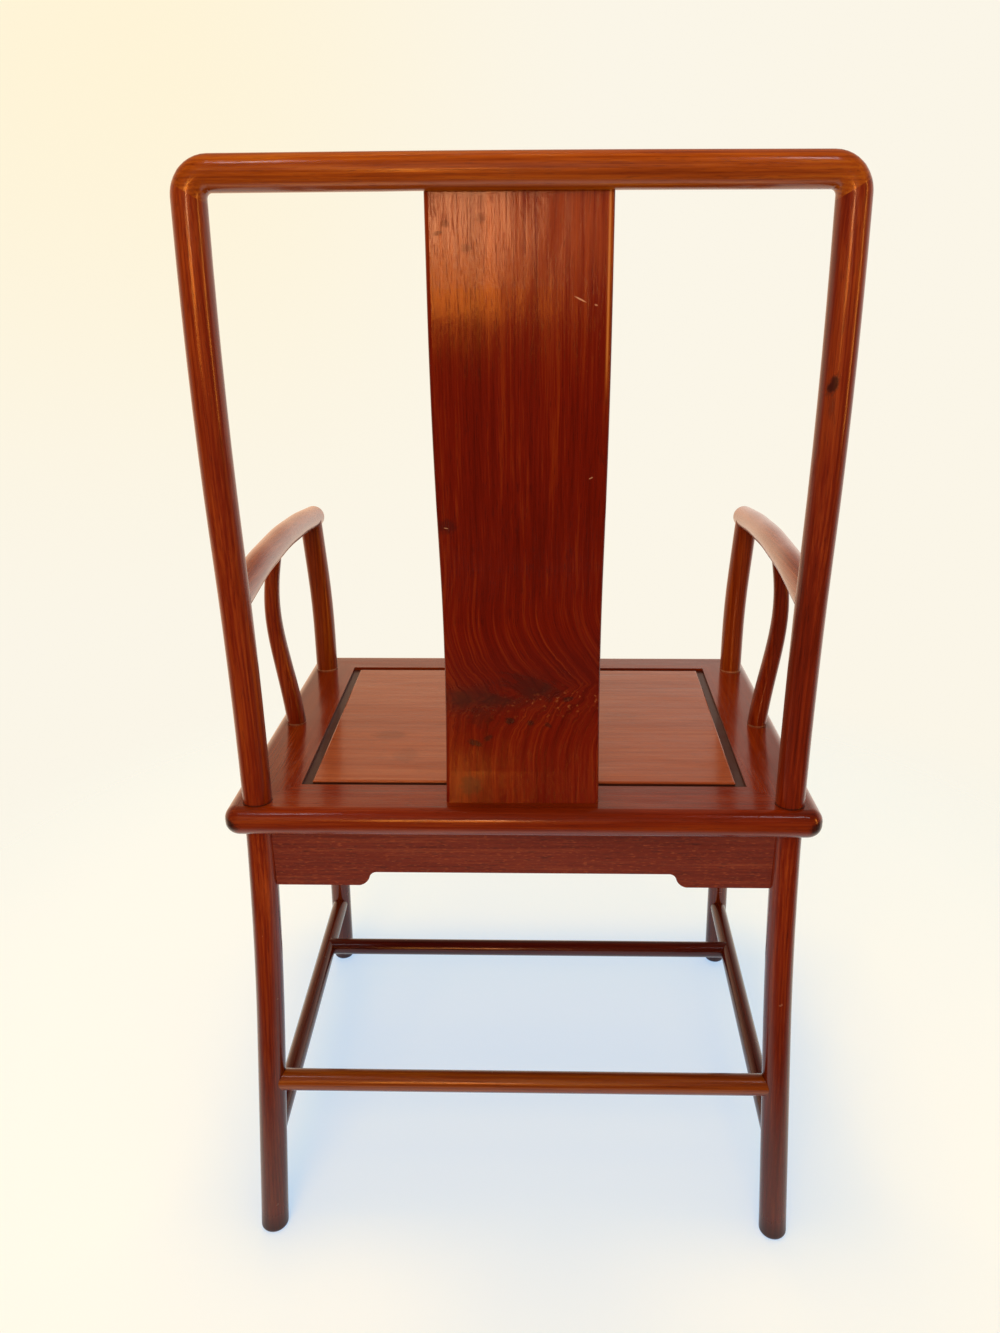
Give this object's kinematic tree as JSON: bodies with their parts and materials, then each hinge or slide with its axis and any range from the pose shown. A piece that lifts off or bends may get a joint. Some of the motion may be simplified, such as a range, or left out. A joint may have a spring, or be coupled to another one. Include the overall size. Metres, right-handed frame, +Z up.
{
  "type": "round-post armchair with curved splat",
  "caption": "Hardwood armchair of round posts and rails, with a flat S-curved back splat, bowed arms, a framed floating seat panel, shaped aprons and plain stretchers.",
  "frame": {"origin": "centre of the bounding box on the floor", "axes": "+Z up, -Y to the front of the chair, +X to the sitter's left"},
  "size_m": [0.5936, 0.528, 1.039],
  "materials": {
    "frame_wood": "deep red-brown hardwood under a glossy clear lacquer",
    "splat_wood": "figured red-brown hardwood board under a glossy clear lacquer",
    "panel_wood": "lighter red-brown board, polished",
    "apron_wood": "coarse-pored red-brown hardwood, satin"
  },
  "bodies": {
    "root": {"crest_rail": "frame_wood", "rear_post_left": "frame_wood", "rear_post_right": "frame_wood", "back_splat": "splat_wood", "arm_left": "frame_wood", "arm_right": "frame_wood", "front_post_left": "frame_wood", "front_post_right": "frame_wood", "spindle_left": "frame_wood", "spindle_right": "frame_wood", "seat_rail_rear": "frame_wood", "seat_rail_front": "frame_wood", "seat_rail_left": "frame_wood", "seat_rail_right": "frame_wood", "seat_panel": "panel_wood", "seat_battens": "apron_wood", "apron_rear": "apron_wood", "apron_front": "apron_wood", "apron_left": "apron_wood", "apron_right": "apron_wood", "stretcher_rear": "frame_wood", "stretcher_left": "frame_wood", "stretcher_right": "frame_wood", "stretcher_cross": "frame_wood"}
  },
  "joints": []
}
